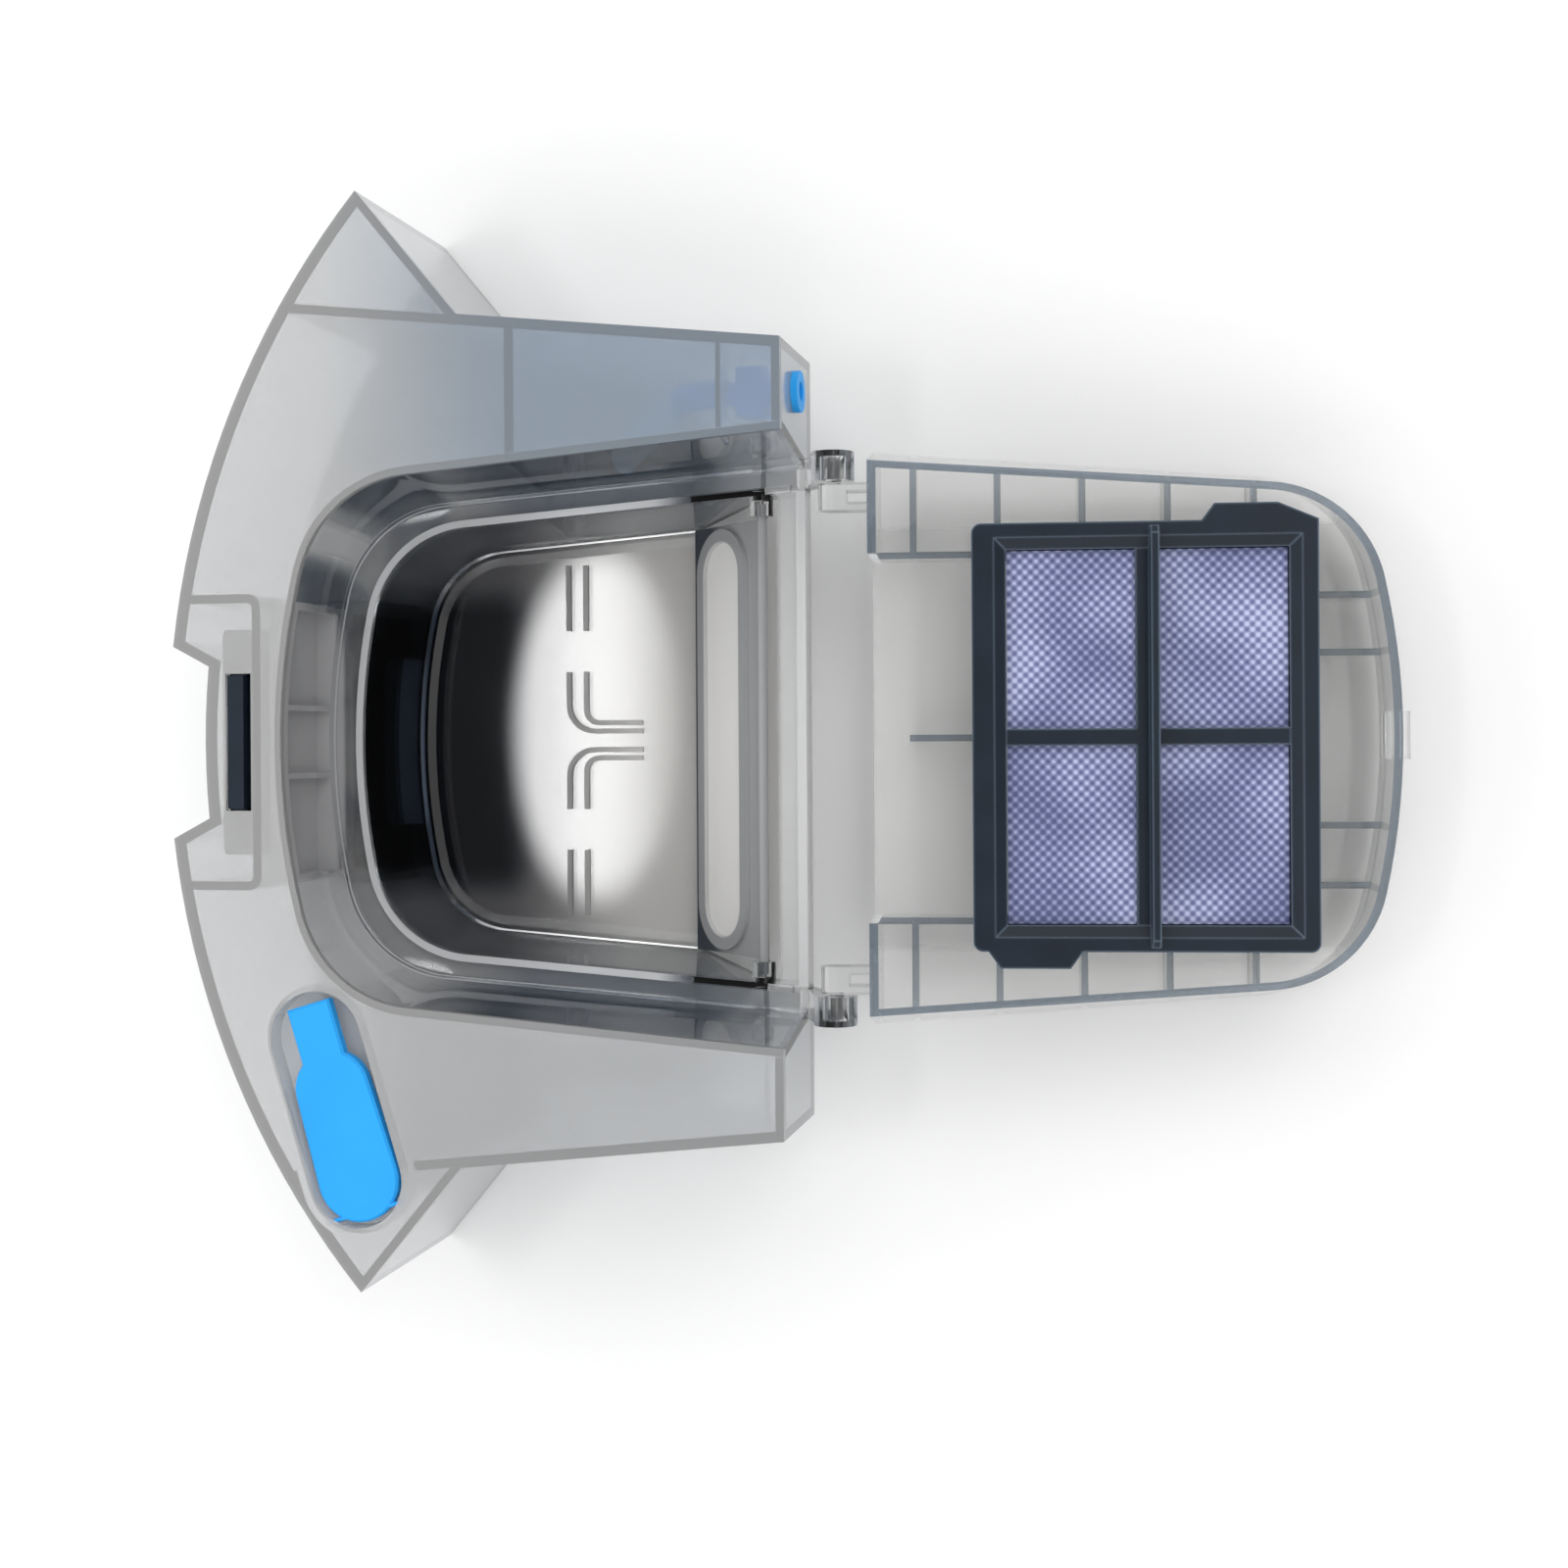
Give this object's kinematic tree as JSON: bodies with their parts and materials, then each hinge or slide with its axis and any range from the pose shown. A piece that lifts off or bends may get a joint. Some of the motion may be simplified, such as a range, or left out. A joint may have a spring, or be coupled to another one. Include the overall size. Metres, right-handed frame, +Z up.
{
  "type": "robot vacuum dust bin with water tank",
  "caption": "Clear robot vacuum dust bin set in a wing-shaped water tank, with a hinged ribbed lid that holds the filter, an inlet flap and a soft filler plug.",
  "frame": {"origin": "on the flat underside of the tank, in the middle plane, below the dust bin", "axes": "+Z up out of the open bin, +X towards the hinge and the open lid, +Y towards the wing with the water outlet"},
  "size_m": [0.2552, 0.23, 0.051],
  "materials": {
    "smoky_clear": "clear smoke grey moulding",
    "bin_clear": "polished clear smoke grey moulding",
    "frosted_clear": "finely frosted clear moulding",
    "lid_clear": "clear smoke grey moulding",
    "black_plastic": "satin black moulding",
    "filter_mesh": "fine violet woven mesh",
    "filter_paper": "pleated white filter paper",
    "black_rubber": "soft black foam",
    "flap_clear": "soft clear flap",
    "blue_silicone": "matte bright blue silicone",
    "pale_blue": "light blue moulding",
    "milky_hose": "milky soft tube"
  },
  "bodies": {
    "tank": {"tank_body": "smoky_clear", "tank_cover": "frosted_clear", "dust_bin": "bin_clear", "outlet_seal": "blue_silicone", "hose_connector": "pale_blue", "suction_hose": "milky_hose"},
    "lid": {"lid_shell": "lid_clear", "filter_frame": "black_plastic", "filter_mesh": "filter_mesh", "filter_media": "filter_paper", "filter_gasket": "black_rubber"},
    "flap": {"inlet_flap": "flap_clear"},
    "plug": {"filler_plug": "blue_silicone"},
    "slider": {"release_slider": "black_plastic"}
  },
  "joints": [
    {"name": "lid_hinge", "type": "hinge", "parent": "tank", "child": "lid", "pos_m": [0.071, 0, 0.034], "axis": [0, -1, 0], "range_deg": [0, 186.5]},
    {"name": "flap_hinge", "type": "hinge", "parent": "tank", "child": "flap", "pos_m": [0.05368, 0, 0.02399], "axis": [0, 1, 0], "range_deg": [0, 40]},
    {"name": "plug_hinge", "type": "hinge", "parent": "tank", "child": "plug", "pos_m": [-0.02585, -0.0983, 0.0499], "axis": [0.9563, 0.2924, 0], "range_deg": [0, 95]},
    {"name": "release_slide", "type": "slide", "parent": "tank", "child": "slider", "axis": [1, 0, 0], "range_m": [0, 0.0014], "stiffness_N_per_m": 600}
  ]
}
